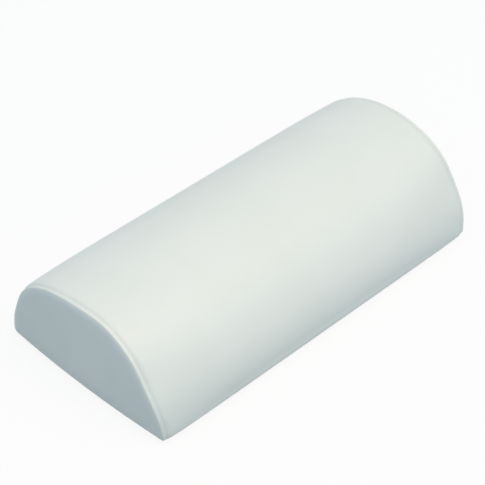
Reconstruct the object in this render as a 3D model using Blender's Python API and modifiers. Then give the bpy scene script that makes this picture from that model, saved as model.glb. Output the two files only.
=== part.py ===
"""Half round bolster: a foam half cylinder in a white vinyl cover that closes with a zip in its base.

Units are metres, +Z is up and X runs along the bolster. The origin is the middle of the flat base.
Every cover panel is a sheet with its seam allowances folded in, as they lie once the cover is sewn.
"""
import math

import bmesh
import bpy
import numpy as np

MM = 0.001
GAP = 0.3 * MM

# Driving dimensions of the finished bolster.
LENGTH = 500 * MM
WIDTH = 250 * MM
HEIGHT = 120 * MM
SECTION_POWER = 2.3
VINYL = 1.1 * MM
ALLOWANCE = 10 * MM

# A seam allowance is folded flat on its own panel with this radius at the middle of the vinyl.
FOLD_RADIUS = (VINYL + GAP) / 2
FOLD_STACK = 2 * VINYL + GAP
BEND_STEPS = 4
ARCH_STEPS = 40

# The lower edges of the wrap and of the ends round over a little before they fold under.
EDGE_RADIUS = 6 * MM
EDGE_TURN = math.radians(35)
EDGE_STEPS = 3
SIDE_LEAN = math.radians(3)
FLAP_RADIUS = EDGE_RADIUS - VINYL / 2 - 2 * FOLD_RADIUS

# The ends: the wrap's folded edge stands a little proud of the end panel that it frames.
CROWN = 1.4 * MM
END_RECESS = 0.8 * MM
END_EDGE_X = LENGTH / 2 - CROWN
WRAP_NOSE_X = END_EDGE_X + END_RECESS
END_BEND_RADIUS = 2 * MM
CORNER_CLEAR = 16 * MM

# The base: two panels that lie on the floor like a tray, with their zip sides rolled up into a slot.
BASE_INSET = EDGE_RADIUS - FLAP_RADIUS * math.cos(EDGE_TURN) + VINYL / 2 + 2 * GAP
BASE_BEND_RADIUS = 4.45 * MM
BASE_CORNER = 3 * MM
SLOT_HALF = 7 * MM
ROLL_RADIUS = 2.4 * MM
ROLL_RETURN = 12 * MM

# The zip, measured from its tape, which lies on the rolled edges of the base.
TAPE_THICKNESS = 0.6 * MM
TAPE_Z = 2 * ROLL_RADIUS + VINYL + GAP + TAPE_THICKNESS / 2
TAPE_INNER = 3.9 * MM
TAPE_OUTER = 19 * MM
TAPE_LENGTH = 483 * MM
TOOTH_PITCH = 4 * MM
TOOTH_THICKNESS = 2.6 * MM
TOOTH_NECK = 0.6 * MM
TOOTH_HEAD = 1.1 * MM
TOOTH_REACH = 0.9 * MM
SPINE_INNER = 2.4 * MM
SPINE_OUTER = 3.6 * MM
CHAIN_START = -226 * MM
TAB_X = 216 * MM

# The slider is parked at the closed end, against the tab on the +X side.
SLIDER_LENGTH = 18 * MM
SLIDER_X = TAB_X - 1 * MM - SLIDER_LENGTH / 2
CHANNEL_HALF_HEIGHT = 1.5 * MM
PLATE = 1.1 * MM
BRIDGE_GAP = 1.9 * MM
BRIDGE_THICKNESS = 0.9 * MM
PULL_THICKNESS = 1.0 * MM
PLATE_FACE_Z = TAPE_Z - CHANNEL_HALF_HEIGHT - PLATE
PIVOT_Z = PLATE_FACE_Z - BRIDGE_GAP / 2

# The foam: a firm core with a soft layer glued over its arch.
COMFORT_THICKNESS = 10.6 * MM
FOAM_INSET = VINYL + GAP
FOAM_SEAM_INSET = 3 * FOAM_INSET + GAP
FOAM_END_X = END_EDGE_X - FOAM_INSET

WHITE_VINYL = (0.86, 0.89, 0.87)
FIRM_FOAM = (0.78, 0.80, 0.76)
SOFT_FOAM = (0.90, 0.88, 0.78)
WHITE_TAPE = (0.84, 0.86, 0.85)
WHITE_NYLON = (0.80, 0.82, 0.81)
ZINC = (0.62, 0.63, 0.64)


def clear_scene():
    for obj in list(bpy.data.objects):
        bpy.data.objects.remove(obj)


def new_collection(name):
    collection = bpy.data.collections.new(name)
    bpy.context.scene.collection.children.link(collection)
    return collection


def material(name, colour, roughness, metallic=0.0):
    made = bpy.data.materials.new(name)
    made.use_nodes = True
    shader = made.node_tree.nodes["Principled BSDF"]
    shader.inputs["Base Color"].default_value = (*colour, 1.0)
    shader.inputs["Roughness"].default_value = roughness
    shader.inputs["Metallic"].default_value = metallic
    return made


def half_round(inset, lowest, steps=ARCH_STEPS):
    """Points of the arch in the YZ plane, front to rear, and its outward normals.

    The arch is the upper half of a superellipse, moved in by inset and cut off at the height lowest.
    """
    half, top = WIDTH / 2 - inset, HEIGHT - inset
    start = math.asin((lowest / top) ** (SECTION_POWER / 2))
    angle = np.linspace(math.pi - start, start, steps + 1)
    share_y = np.abs(np.cos(angle)) ** (2 / SECTION_POWER) * np.sign(np.cos(angle))
    share_z = np.sin(angle) ** (2 / SECTION_POWER)
    points = np.stack([np.zeros_like(angle), half * share_y, top * share_z], axis=1)
    slope_y = np.sign(share_y) * np.abs(share_y) ** (SECTION_POWER - 1) / half
    slope_z = share_z ** (SECTION_POWER - 1) / top
    normals = np.stack([np.zeros_like(angle), slope_y, slope_z], axis=1)
    return points, normals / np.linalg.norm(normals, axis=1, keepdims=True)


def rounded_half_round(inset):
    """The arch with both lower edges rounded over, as points front to rear and their outward normals."""
    arch, normals = half_round(inset, EDGE_RADIUS)
    radius = EDGE_RADIUS - inset
    angle = np.linspace(EDGE_TURN, 0, EDGE_STEPS, endpoint=False)
    out = np.stack([np.zeros_like(angle), -np.cos(angle), -np.sin(angle)], axis=1)
    edge = arch[0] + radius * (out + (0, 1, 0))
    mirror = np.array((1, -1, 1))
    points = np.vstack([edge, arch, edge[::-1] * mirror])
    return points, np.vstack([out, normals, out[::-1] * mirror])


def fold(edge, outward, inward, radius, angle, flap=ALLOWANCE, keep=slice(None)):
    """The bend and the flap that carry a panel's edge over: two grids of points.

    The bend turns from outward to inward through angle. The flap runs on from it, on the edge points in keep.
    """
    turn = np.linspace(0, angle, BEND_STEPS + 1)
    out, into = radius * np.sin(turn), radius * (1 - np.cos(turn))
    bend = np.array([edge + o * outward + i * inward for o, i in zip(out, into)])
    step = flap * (math.cos(angle) * outward + math.sin(angle) * inward)
    last = bend[-1]
    return bend, np.array([last, last + step])[:, keep]


def add_object(name, data, collection):
    obj = bpy.data.objects.new(name, data)
    collection.objects.link(obj)
    return obj


def patches_mesh(name, grids):
    """One mesh of several grids of points, welded where they share an edge."""
    mesh = bpy.data.meshes.new(name)
    points, faces = [], []
    for grid in grids:
        rows, columns = grid.shape[:2]
        first = sum(len(block) for block in points)
        index = first + np.arange(rows * columns).reshape(rows, columns)
        corners = (index[:-1, :-1], index[:-1, 1:], index[1:, 1:], index[1:, :-1])
        faces += np.stack(corners, axis=-1).reshape(-1, 4).tolist()
        points.append(grid.reshape(-1, 3))
    mesh.from_pydata(np.concatenate(points).tolist(), [], faces)
    shape = bmesh.new()
    shape.from_mesh(mesh)
    bmesh.ops.remove_doubles(shape, verts=shape.verts, dist=0.01 * MM)
    bmesh.ops.dissolve_degenerate(shape, edges=shape.edges, dist=0.001 * MM)
    bmesh.ops.recalc_face_normals(shape, faces=shape.faces)
    shape.to_mesh(mesh)
    shape.free()
    mesh.shade_smooth()
    return mesh


def sheet(name, grids, thickness, collection):
    """A sheet of even thickness whose middle surface is made of grids of points."""
    obj = add_object(name, patches_mesh(name, grids), collection)
    shell = obj.modifiers.new("thickness", "SOLIDIFY")
    shell.thickness = thickness
    shell.offset = 0
    return obj


def loft(name, rings, collection):
    """A solid through closed rings of points, with its first and last ring filled."""
    grid = np.array([np.vstack([ring, ring[:1]]) for ring in rings])
    mesh = patches_mesh(name, [grid])
    shape = bmesh.new()
    shape.from_mesh(mesh)
    open_edges = [edge for edge in shape.edges if edge.is_boundary]
    bmesh.ops.holes_fill(shape, edges=open_edges)
    bmesh.ops.recalc_face_normals(shape, faces=shape.faces)
    shape.to_mesh(mesh)
    shape.free()
    mesh.set_sharp_from_angle(angle=math.radians(30))
    return add_object(name, mesh, collection)


def outline_solid(name, outlines, thickness, collection, rounding=0.0):
    """A flat outline in the XY plane, with holes where a second outline lies inside, given a thickness."""
    curve = bpy.data.curves.new(name, "CURVE")
    curve.dimensions = "2D"
    curve.fill_mode = "BOTH"
    curve.extrude = thickness / 2 - rounding
    curve.bevel_depth = rounding
    curve.bevel_resolution = 1
    curve.offset = -rounding
    for outline in outlines:
        spline = curve.splines.new("POLY")
        spline.points.add(len(outline) - 1)
        for point, (x, y) in zip(spline.points, outline):
            point.co = (x, y, 0, 1)
        spline.use_cyclic_u = True
    return add_object(name, curve, collection)


def to_mesh(obj):
    """The curve object as a mesh object with welded caps, so that it can be cut or joined."""
    bpy.context.view_layer.update()
    graph = bpy.context.evaluated_depsgraph_get()
    mesh = bpy.data.meshes.new_from_object(obj.evaluated_get(graph))
    shape = bmesh.new()
    shape.from_mesh(mesh)
    bmesh.ops.remove_doubles(shape, verts=shape.verts, dist=0.001 * MM)
    shape.to_mesh(mesh)
    shape.free()
    name, collection = obj.name, obj.users_collection[0]
    bpy.data.objects.remove(obj)
    return add_object(name, mesh, collection)


def boolean(obj, tool, operation):
    cut = obj.modifiers.new(tool.name, "BOOLEAN")
    cut.object = tool
    cut.operation = operation
    tool.hide_render = True
    tool.display_type = "WIRE"


def rounded_rectangle(x0, x1, half_width, radius, steps=4):
    """A rectangle from x0 to x1 with round corners, as outline points."""
    centres = (
        (x1 - radius, half_width - radius, 0),
        (x0 + radius, half_width - radius, 90),
        (x0 + radius, radius - half_width, 180),
        (x1 - radius, radius - half_width, 270),
    )
    points = []
    for x, y, first in centres:
        for angle in np.radians(np.linspace(first, first + 90, steps + 1)):
            points.append((x + radius * math.cos(angle), y + radius * math.sin(angle)))
    return points


def foam_space(collection):
    """The room for the foam inside the sewn cover: a tray where the base turns up, and wide open above it."""
    tray = VINYL + GAP + ALLOWANCE * math.sin(SIDE_LEAN)
    floor_inset = BASE_BEND_RADIUS - VINYL / 2 - GAP
    half_x, half_y = END_EDGE_X - BASE_INSET - tray, WIDTH / 2 - BASE_INSET - tray
    clear = 2 * FOAM_SEAM_INSET
    levels = (
        (FOAM_INSET, -floor_inset),
        (FOAM_INSET + floor_inset, 0),
        (CORNER_CLEAR, 0),
        (CORNER_CLEAR + clear, clear),
        (HEIGHT, clear),
    )
    rings = []
    for z, growth in levels:
        corner = BASE_CORNER + floor_inset + growth
        ring = rounded_rectangle(-half_x - growth, half_x + growth, half_y + growth, corner)
        rings.append([(x, y, z) for x, y in ring])
    return loft("foam_space", rings, collection)


def make_foam_core(collection, space):
    """Firm polyurethane half cylinder, with a stepped groove in its underside for the zip and its slider."""
    inset = FOAM_INSET + COMFORT_THICKNESS + GAP
    groove_half, groove_z = 23.5 * MM, TAPE_Z + TAPE_THICKNESS / 2 + GAP
    slider_half, slider_z = 8.2 * MM, TAPE_Z + CHANNEL_HALF_HEIGHT + PLATE + 3 * GAP
    arch, _ = half_round(inset, FOAM_INSET)
    steps = ((groove_half, FOAM_INSET), (groove_half, groove_z), (slider_half, groove_z), (slider_half, slider_z))
    groove = [(0, y, z) for y, z in steps] + [(0, -y, z) for y, z in reversed(steps)]
    section = np.vstack([arch, groove])
    core = loft("foam_core", [section + (x, 0, 0) for x in (-FOAM_END_X, FOAM_END_X)], collection)
    boolean(core, space, "INTERSECT")
    return core


def make_comfort_layer(collection, space):
    """Soft foam sheet glued over the arch of the core. Its ends are pressed in by the folded seams there."""
    seam = FOAM_SEAM_INSET - FOAM_INSET
    corner = 1.2 * MM
    half = (
        (FOAM_END_X, seam + corner),
        (FOAM_END_X - corner, seam),
        (END_EDGE_X - CORNER_CLEAR, seam),
        (END_EDGE_X - CORNER_CLEAR - 2 * seam, 0),
    )
    stations = [(-x, pressed) for x, pressed in half] + [(x, pressed) for x, pressed in reversed(half)]
    outer, normals = half_round(FOAM_INSET, FOAM_INSET)
    inner, _ = half_round(FOAM_INSET + COMFORT_THICKNESS, FOAM_INSET)
    rings = [np.vstack([outer - pressed * normals, inner[::-1]]) + (x, 0, 0) for x, pressed in stations]
    layer = loft("comfort_layer", rings, collection)
    boolean(layer, space, "INTERSECT")
    return layer


def make_wrap(collection):
    """The long vinyl panel over the arch, with its four edges folded under."""
    edge_x = WRAP_NOSE_X - VINYL / 2 - FOLD_RADIUS
    profile, normals = rounded_half_round(VINYL / 2)
    half = (edge_x, END_EDGE_X - FOLD_STACK - END_BEND_RADIUS, LENGTH / 2 - CORNER_CLEAR)
    stations = [-x for x in half] + list(reversed(half))
    body = np.array([profile + (x, 0, 0) for x in stations])
    grids = [body]
    above = np.flatnonzero(profile[:, 2] > CORNER_CLEAR)
    keep = slice(above[0], above[-1] + 1)
    for edge, side in ((body[0], -1), (body[-1], 1)):
        grids += fold(edge, np.array((side, 0.0, 0.0)), -normals, FOLD_RADIUS, math.pi, keep=keep)
    turned = math.pi - EDGE_TURN - SIDE_LEAN
    for edge, side in ((body[1:-1, 0], -1), (body[1:-1, -1], 1)):
        outward = np.array((0, -side * math.sin(EDGE_TURN), -math.cos(EDGE_TURN)))
        inward = np.array((0, -side * math.cos(EDGE_TURN), math.sin(EDGE_TURN)))
        grids += fold(edge, outward, inward, FOLD_RADIUS, turned, keep=slice(1, -1))
    return sheet("cover_wrap", grids, VINYL, collection)


def make_end_panel(name, side, collection):
    """D shaped vinyl end panel: slightly crowned, its round edge turned in and its straight edge hemmed."""
    inset = FOLD_STACK + GAP + VINYL / 2 + END_BEND_RADIUS
    outline, normals = rounded_half_round(inset)
    radius = EDGE_RADIUS - VINYL / 2
    turn = np.linspace(EDGE_TURN, 0, EDGE_STEPS, endpoint=False)
    low = EDGE_RADIUS - radius * np.sin(turn)[:, None]
    share = np.linspace(0, 1, 6)[:, None]
    z = np.vstack([low + 0 * outline[:, 2], EDGE_RADIUS + share * (outline[:, 2] - EDGE_RADIUS)])
    z = np.minimum(z, outline[:, 2])
    y = np.broadcast_to(outline[:, 1], z.shape)
    rise = np.clip((z - EDGE_RADIUS) / (outline[:, 2].max() - EDGE_RADIUS), 0, 1)
    crown = CROWN * 4 * rise * (1 - rise) * (1 - (y / y.max()) ** 2)
    under = np.maximum(EDGE_RADIUS - z, 0)
    x = side * (END_EDGE_X - VINYL / 2 + crown - radius + np.sqrt(radius**2 - under**2))
    face = np.stack([x, y, z], axis=-1)
    inward = np.array((-side, 0.0, 0.0))
    above = np.flatnonzero(outline[:, 2] > CORNER_CLEAR)
    grids = [face]
    grids += fold(face[-1], normals, inward, END_BEND_RADIUS, math.pi / 2, keep=slice(above[0], above[-1] + 1))
    outward = np.array((-side * math.sin(EDGE_TURN), 0, -math.cos(EDGE_TURN)))
    inward = np.array((-side * math.cos(EDGE_TURN), 0, math.sin(EDGE_TURN)))
    turned = math.pi - EDGE_TURN - SIDE_LEAN
    hem = np.flatnonzero(outline[:, 2] > 2 * EDGE_RADIUS)
    straight = face[0, hem[0] : hem[-1] + 1]
    grids += fold(straight, outward, inward, FOLD_RADIUS, turned)
    return sheet(name, grids, VINYL, collection)


def make_base_panel(name, side, collection):
    """Half of the flat base. Three edges turn up inside the cover, and the zip side rolls up to the tape."""
    outer_y = WIDTH / 2 - BASE_INSET - VINYL / 2 - BASE_BEND_RADIUS
    end_x = END_EDGE_X - BASE_INSET - VINYL / 2 - BASE_BEND_RADIUS
    inner_y = SLOT_HALF + VINYL / 2 + ROLL_RADIUS
    centre_x, centre_y = end_x - BASE_CORNER, outer_y - BASE_CORNER
    angle = np.linspace(0, math.pi / 2, 5)
    corner = np.stack([np.cos(angle), side * np.sin(angle), np.zeros(5)], axis=1)
    normals = np.vstack([corner[:1], corner, corner[::-1] * (-1, 1, 1), corner[:1] * (-1, 1, 1)])
    quarter = BASE_CORNER * corner + (centre_x, side * centre_y, VINYL / 2)
    start = np.array([(end_x, side * inner_y, VINYL / 2)])
    edge = np.vstack([start, quarter, quarter[::-1] * (-1, 1, 1), start * (-1, 1, 1)])
    flat = np.array([edge * (1, 0, 1) + (0, side * inner_y, 0), edge])
    up = np.array((0.0, 0.0, 1.0))
    away = np.array((0.0, side, 0.0))
    grids = [flat]
    grids += fold(edge, normals, up, BASE_BEND_RADIUS, math.pi / 2 + SIDE_LEAN)
    zip_edge = flat[0, 1:-1]
    grids += fold(zip_edge, -away, up, ROLL_RADIUS, math.pi, flap=ROLL_RETURN)
    return sheet(name, grids, VINYL, collection)


def make_tape(name, side, collection):
    """Woven zip tape, sewn to the rolled edge of a base panel."""
    outline = rounded_rectangle(-TAPE_LENGTH / 2, TAPE_LENGTH / 2, (TAPE_OUTER - TAPE_INNER) / 2, 1 * MM, 2)
    obj = outline_solid(name, [outline], TAPE_THICKNESS, collection)
    obj.location = (0, side * (TAPE_INNER + TAPE_OUTER) / 2, TAPE_Z)
    return obj


def make_teeth(name, side, collection):
    """A row of moulded teeth on the corded edge of its tape. Their heads flare, so that closed rows hook."""
    start = CHAIN_START + (TOOTH_PITCH / 2 if side > 0 else 0)
    count = int((SLIDER_X + TOOTH_HEAD - start) / TOOTH_PITCH)
    outline = [(start - TOOTH_PITCH / 2, side * SPINE_OUTER), (start - TOOTH_PITCH / 2, side * SPINE_INNER)]
    flank = ((-TOOTH_NECK, SPINE_INNER), (-TOOTH_NECK, 0), (-TOOTH_HEAD, -TOOTH_REACH))
    flank += tuple((-x, y) for x, y in reversed(flank))
    for number in range(count):
        outline += [(start + number * TOOTH_PITCH + x, side * y) for x, y in flank]
    end = start + (count - 0.5) * TOOTH_PITCH
    outline += [(end, side * SPINE_INNER), (end, side * SPINE_OUTER)]
    obj = outline_solid(name, [outline], TOOTH_THICKNESS, collection)
    obj.location = (0, 0, TAPE_Z)
    return obj


def make_end_tab(name, side, collection):
    """Vinyl strip folded round the end of the zip. The slider stops against it."""
    half_width = SLOT_HALF - GAP
    radius = CHANNEL_HALF_HEIGHT + GAP + VINYL / 2
    bend_x = TAPE_LENGTH / 2 + GAP
    edge = np.array([(side * bend_x, y, TAPE_Z - radius) for y in (-half_width, half_width)])
    outward, up = np.array((side, 0.0, 0.0)), np.array((0.0, 0.0, 1.0))
    lower = np.array([edge - (bend_x - TAB_X) * outward, edge])
    bend, upper = fold(edge, outward, up, radius, math.pi, flap=bend_x - TAB_X)
    return sheet(name, [lower, bend, upper], VINYL, collection)


def slider_plan():
    """The slider's outline seen from below: a narrow tail at -X, and a wide mouth with round shoulders at +X."""
    tail, shoulder, mouth = 5.2 * MM, 6.2 * MM, 5.4 * MM
    half = SLIDER_LENGTH / 2
    upper = [(half, 0.6 * mouth), (half - 0.8 * MM, mouth), (half - 3 * MM, shoulder), (0, shoulder - 0.3 * MM)]
    upper += [(-half + 1 * MM, tail), (-half, tail - 1 * MM)]
    return upper + [(x, -y) for x, y in reversed(upper)]


def channel_plan():
    """The way for the teeth: one closed chain wide at the tail, two open rows wide at the mouth."""
    past = SLIDER_LENGTH / 2 + 1 * MM
    upper = [(past, 5.0 * MM), (2 * MM, 4.8 * MM), (-3 * MM, 4.2 * MM), (-past, 4.2 * MM)]
    return upper + [(x, -y) for x, y in reversed(upper)]


def wedge_plan():
    """The divider in the mouth, which parts the two rows of teeth."""
    half = 1.3 * MM
    return [(2.6 * MM, 0), (5.6 * MM, -half), (7.6 * MM, -half), (8.4 * MM, 0), (7.6 * MM, half), (5.6 * MM, half)]


def bridge_profile():
    """The loop on the slider's outer plate that carries the pull, in X and depth below the plate's face."""
    outer, inner, root = 5.9 * MM, 5.0 * MM, 0.5 * MM
    depth = BRIDGE_GAP + BRIDGE_THICKNESS
    easing = 0.8 * MM
    return [
        (-outer, root),
        (-outer, -depth + easing),
        (-outer + easing, -depth),
        (outer - easing, -depth),
        (outer, -depth + easing),
        (outer, root),
        (inner, root),
        (inner, -BRIDGE_GAP),
        (-inner, -BRIDGE_GAP),
        (-inner, root),
    ]


def make_slider(collection, tools):
    """Die-cast slider: two plates joined by the wedge, open at the sides for the tapes, with a bridge below."""
    height = 2 * (CHANNEL_HALF_HEIGHT + PLATE)
    channel_height = 2 * CHANNEL_HALF_HEIGHT
    body = to_mesh(outline_solid("zip_slider", [slider_plan()], height, collection, rounding=0.4 * MM))
    channel = to_mesh(outline_solid("slider_channel", [channel_plan()], channel_height, tools))
    wedge = to_mesh(outline_solid("slider_wedge", [wedge_plan()], height - PLATE, tools))
    bridge = to_mesh(outline_solid("slider_bridge", [bridge_profile()], 2.2 * MM, tools))
    for piece in (body, channel, wedge):
        piece.location = (SLIDER_X, 0, TAPE_Z)
    bridge.location = (SLIDER_X, 0, PLATE_FACE_Z)
    bridge.rotation_euler = (math.radians(90), 0, 0)
    boolean(body, channel, "DIFFERENCE")
    for side in (-1, 1):
        outline = rounded_rectangle(-11 * MM, 11 * MM, 3 * MM, 0.5 * MM, 1)
        slot = to_mesh(outline_solid(f"tape_slot_{side}", [outline], TAPE_THICKNESS + 2 * GAP, tools))
        slot.location = (SLIDER_X, side * 6.4 * MM, TAPE_Z)
        boolean(body, slot, "DIFFERENCE")
    boolean(body, wedge, "UNION")
    boolean(body, bridge, "UNION")
    return body


def make_pull(collection):
    """Flat pull with an eye that hooks round the bridge. Its own X axis runs from the pivot to the tip."""
    bar = PULL_THICKNESS / 2
    width = 3 * MM
    outline = rounded_rectangle(-bar, 24 * MM, width, 0.9 * MM, 3)
    eye = rounded_rectangle(bar, 6.5 * MM, width - 1.2 * MM, 0.4 * MM, 2)
    grip = rounded_rectangle(15 * MM, 21 * MM, 1.4 * MM, 1.3 * MM, 3)
    pull = outline_solid("zip_pull", [outline, eye, grip], PULL_THICKNESS, collection)
    pivot = add_object("pull_pivot", None, collection)
    pivot.location = (SLIDER_X, 0, PIVOT_Z)
    pull.parent = pivot
    pull.rotation_euler = (0, 0, math.radians(180))
    return pull


def main():
    clear_scene()
    bolster = new_collection("half_round_bolster")
    tools = new_collection("cutters")
    tools.hide_render = True
    vinyl = material("white vinyl", WHITE_VINYL, 0.45)
    tape = material("zip tape", WHITE_TAPE, 0.85)
    nylon = material("zip teeth", WHITE_NYLON, 0.5)
    zinc = material("zinc alloy", ZINC, 0.35, 0.9)
    space = foam_space(tools)
    pieces = [
        (make_foam_core(bolster, space), material("firm foam", FIRM_FOAM, 0.95)),
        (make_comfort_layer(bolster, space), material("soft foam", SOFT_FOAM, 0.95)),
        (make_wrap(bolster), vinyl),
        (make_end_panel("cover_end_left", -1, bolster), vinyl),
        (make_end_panel("cover_end_right", 1, bolster), vinyl),
        (make_base_panel("base_panel_front", -1, bolster), vinyl),
        (make_base_panel("base_panel_rear", 1, bolster), vinyl),
        (make_tape("zip_tape_front", -1, bolster), tape),
        (make_tape("zip_tape_rear", 1, bolster), tape),
        (make_teeth("zip_teeth_front", -1, bolster), nylon),
        (make_teeth("zip_teeth_rear", 1, bolster), nylon),
        (make_end_tab("zip_end_tab_left", -1, bolster), vinyl),
        (make_end_tab("zip_end_tab_right", 1, bolster), vinyl),
        (make_slider(bolster, tools), zinc),
        (make_pull(bolster), zinc),
    ]
    for obj, look in pieces:
        obj.data.materials.append(look)


main()
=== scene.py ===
import math

import bmesh
import bpy
import numpy as np
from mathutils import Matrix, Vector


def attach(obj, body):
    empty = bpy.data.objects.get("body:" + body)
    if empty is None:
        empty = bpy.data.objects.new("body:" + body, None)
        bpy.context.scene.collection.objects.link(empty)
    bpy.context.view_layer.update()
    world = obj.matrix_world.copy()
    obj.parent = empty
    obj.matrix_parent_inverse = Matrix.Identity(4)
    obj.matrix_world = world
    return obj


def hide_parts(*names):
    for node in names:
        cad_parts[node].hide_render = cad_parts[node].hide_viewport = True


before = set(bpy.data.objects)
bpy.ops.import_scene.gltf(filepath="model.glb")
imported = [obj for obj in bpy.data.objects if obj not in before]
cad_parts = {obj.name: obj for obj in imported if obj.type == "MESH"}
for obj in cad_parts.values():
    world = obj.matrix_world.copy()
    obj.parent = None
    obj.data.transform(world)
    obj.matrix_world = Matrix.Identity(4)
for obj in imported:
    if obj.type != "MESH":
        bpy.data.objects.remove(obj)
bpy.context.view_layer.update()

# The firm core of the bolster. It is one half cylinder of dense polyurethane foam, cut from a block on a
# contour saw, with a stepped groove milled along its flat side so that the zip and its slider have room.
MM = 0.001
GAP = 0.3 * MM
LENGTH = 500 * MM
WIDTH = 250 * MM
HEIGHT = 120 * MM
SECTION_POWER = 2.3
VINYL = 1.1 * MM
CROWN = 1.4 * MM
END_EDGE_X = LENGTH / 2 - CROWN
FOAM_LOW = VINYL + GAP
FOAM_END_X = END_EDGE_X - VINYL - GAP
COMFORT_THICKNESS = 10.6 * MM
CORE_INSET = FOAM_LOW + COMFORT_THICKNESS + GAP
GROOVE_HALF, GROOVE_TOP = 23.5 * MM, 7.1 * MM
SLIDER_HALF, SLIDER_TOP = 8.2 * MM, 10.0 * MM
TRAY_X, TRAY_Y, TRAY_ROUND = 242.8 * MM, 117.8 * MM, 3.6 * MM
TRAY_TOP = 16 * MM
TRAY_CLEAR = TRAY_TOP + 9 * MM

# What the stuffing and the drawn seams do to the plain half cylinder. Every soft piece follows it.
SLUMP, SLUMP_RUN, SLUMP_LOW = 6.3 * MM, 40 * MM, 20 * MM
SLUMP_TILT_FRONT, SLUMP_TILT_REAR, SLUMP_SPREAD = 56.0, 67.0, 21.0
END_LEAN, END_BOW, CORNER_TUCK = 8.0 * MM, 5.0 * MM, 5.0 * MM
SIDE_TUCK, SIDE_TUCK_RUN, SIDE_BOW = 0.8 * MM, 16 * MM, 0.9 * MM
DRAWN_IN = (
    (-1, 4.0 * MM, -46 * MM, 46 * MM),
    (-1, 3.5 * MM, -98 * MM, 24 * MM),
    (1, -2.6 * MM, 12 * MM, 40 * MM),
    (1, 1.3 * MM, -75 * MM, 30 * MM),
)


class Value:
    """An output of a node. Sums, differences and products written with it add Math nodes to its tree."""

    def __init__(self, tree, socket):
        self.tree = tree
        self.socket = socket

    def reckon(self, operation, first, second):
        return self.tree.node("ShaderNodeMath", {"operation": operation}, {0: first, 1: second})

    def __add__(self, other):
        return self.reckon("ADD", self, other)

    def __sub__(self, other):
        return self.reckon("SUBTRACT", self, other)

    def __rsub__(self, other):
        return self.reckon("SUBTRACT", other, self)

    def __mul__(self, other):
        return self.reckon("MULTIPLY", self, other)

    __radd__ = __add__
    __rmul__ = __mul__


class Tree:
    """A tree of shader nodes. Every node comes from node(), and a plain number may stand for a link."""

    def __init__(self, nodes):
        self.nodes = nodes

    def node(self, kind, settings=None, sockets=None, output=0):
        """Adds a node, sets its settings first and then its sockets, and gives one of its outputs."""
        made = self.nodes.nodes.new(kind)
        for name, value in (settings or {}).items():
            setattr(made, name, value)
        self.feed(made, sockets or {})
        return Value(self, made.outputs[output])

    def feed(self, target, sockets):
        """Links each socket of a node to its value, or sets it where the value is plain."""
        for name, value in sockets.items():
            if isinstance(value, Value):
                self.nodes.links.new(value.socket, target.inputs[name])
            else:
                target.inputs[name].default_value = value


class Finish(Tree):
    """The material of a piece, worked on Object coordinates in metres unless it says otherwise."""

    def __init__(self, name):
        self.material = bpy.data.materials.new(name)
        self.material.use_nodes = True
        super().__init__(self.material.node_tree)
        self.shader = self.nodes.nodes["Principled BSDF"]

    def place(self, output="Object"):
        return self.node("ShaderNodeTexCoord", output=output)

    def noise(self, place, scale, detail=2.0, roughness=0.5):
        sockets = {"Vector": place, "Scale": scale, "Detail": detail, "Roughness": roughness}
        return self.node("ShaderNodeTexNoise", {}, sockets)

    def cells(self, place, scale, feature="F1", randomness=1.0):
        sockets = {"Vector": place, "Scale": scale, "Randomness": randomness}
        return self.node("ShaderNodeTexVoronoi", {"feature": feature}, sockets)

    def stretched(self, place, scale):
        return self.node("ShaderNodeMapping", {}, {"Vector": place, "Scale": scale})

    def eased(self, value, low, high, to_low=0.0, to_high=1.0):
        """A value that runs from low to high, eased to one that runs from to_low to to_high."""
        sockets = {"Value": value, "From Min": low, "From Max": high, "To Min": to_low, "To Max": to_high}
        return self.node("ShaderNodeMapRange", {"interpolation_type": "SMOOTHSTEP"}, sockets)

    def mix(self, share, first, second):
        """A colour between two colours."""
        first, second = (value if isinstance(value, Value) else (*value, 1.0) for value in (first, second))
        sockets = {"Factor": share, 6: first, 7: second}
        return self.node("ShaderNodeMix", {"data_type": "RGBA"}, sockets, output=2)

    def relief(self, height, depth, strength):
        sockets = {"Height": height, "Distance": depth, "Strength": strength}
        return self.node("ShaderNodeBump", {}, sockets)

    def surface(self, **sockets):
        """Feeds the shader. A socket's name is written with an underscore for each space."""
        self.feed(self.shader, {name.replace("_", " "): value for name, value in sockets.items()})
        return self.material


def foam_finish(name, pale, deep, pore_size, roughness):
    """Open-celled foam: round pores, pore_size metres across, that hold a little shade, in an uneven tone."""
    foam = Finish(name)
    place = foam.place()
    pores = foam.cells(place, 1 / pore_size)
    fine = foam.noise(place, 3 / pore_size, 3.0)
    hollow = foam.eased(pores, 0.1, 0.55)
    uneven = foam.noise(place, 14.0, 3.0)
    return foam.surface(
        Base_Color=foam.mix(hollow * 0.7 + uneven * 0.3, deep, pale),
        Roughness=foam.eased(fine, 0.2, 0.8, roughness - 0.06, roughness),
        Normal=foam.relief(hollow + fine * 0.5, 0.4 * MM, 0.7),
    )


def bell(distance, spread):
    """A bell curve of a distance: 1 at nought, falling as e to minus its square over the spread's square."""
    return np.exp(-((distance / spread) ** 2))


def points_at(x, y, z):
    """Points from their x, y and z, each a number or an array, spread to one shape."""
    return np.stack(np.broadcast_arrays(x, y, z), axis=-1)


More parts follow.
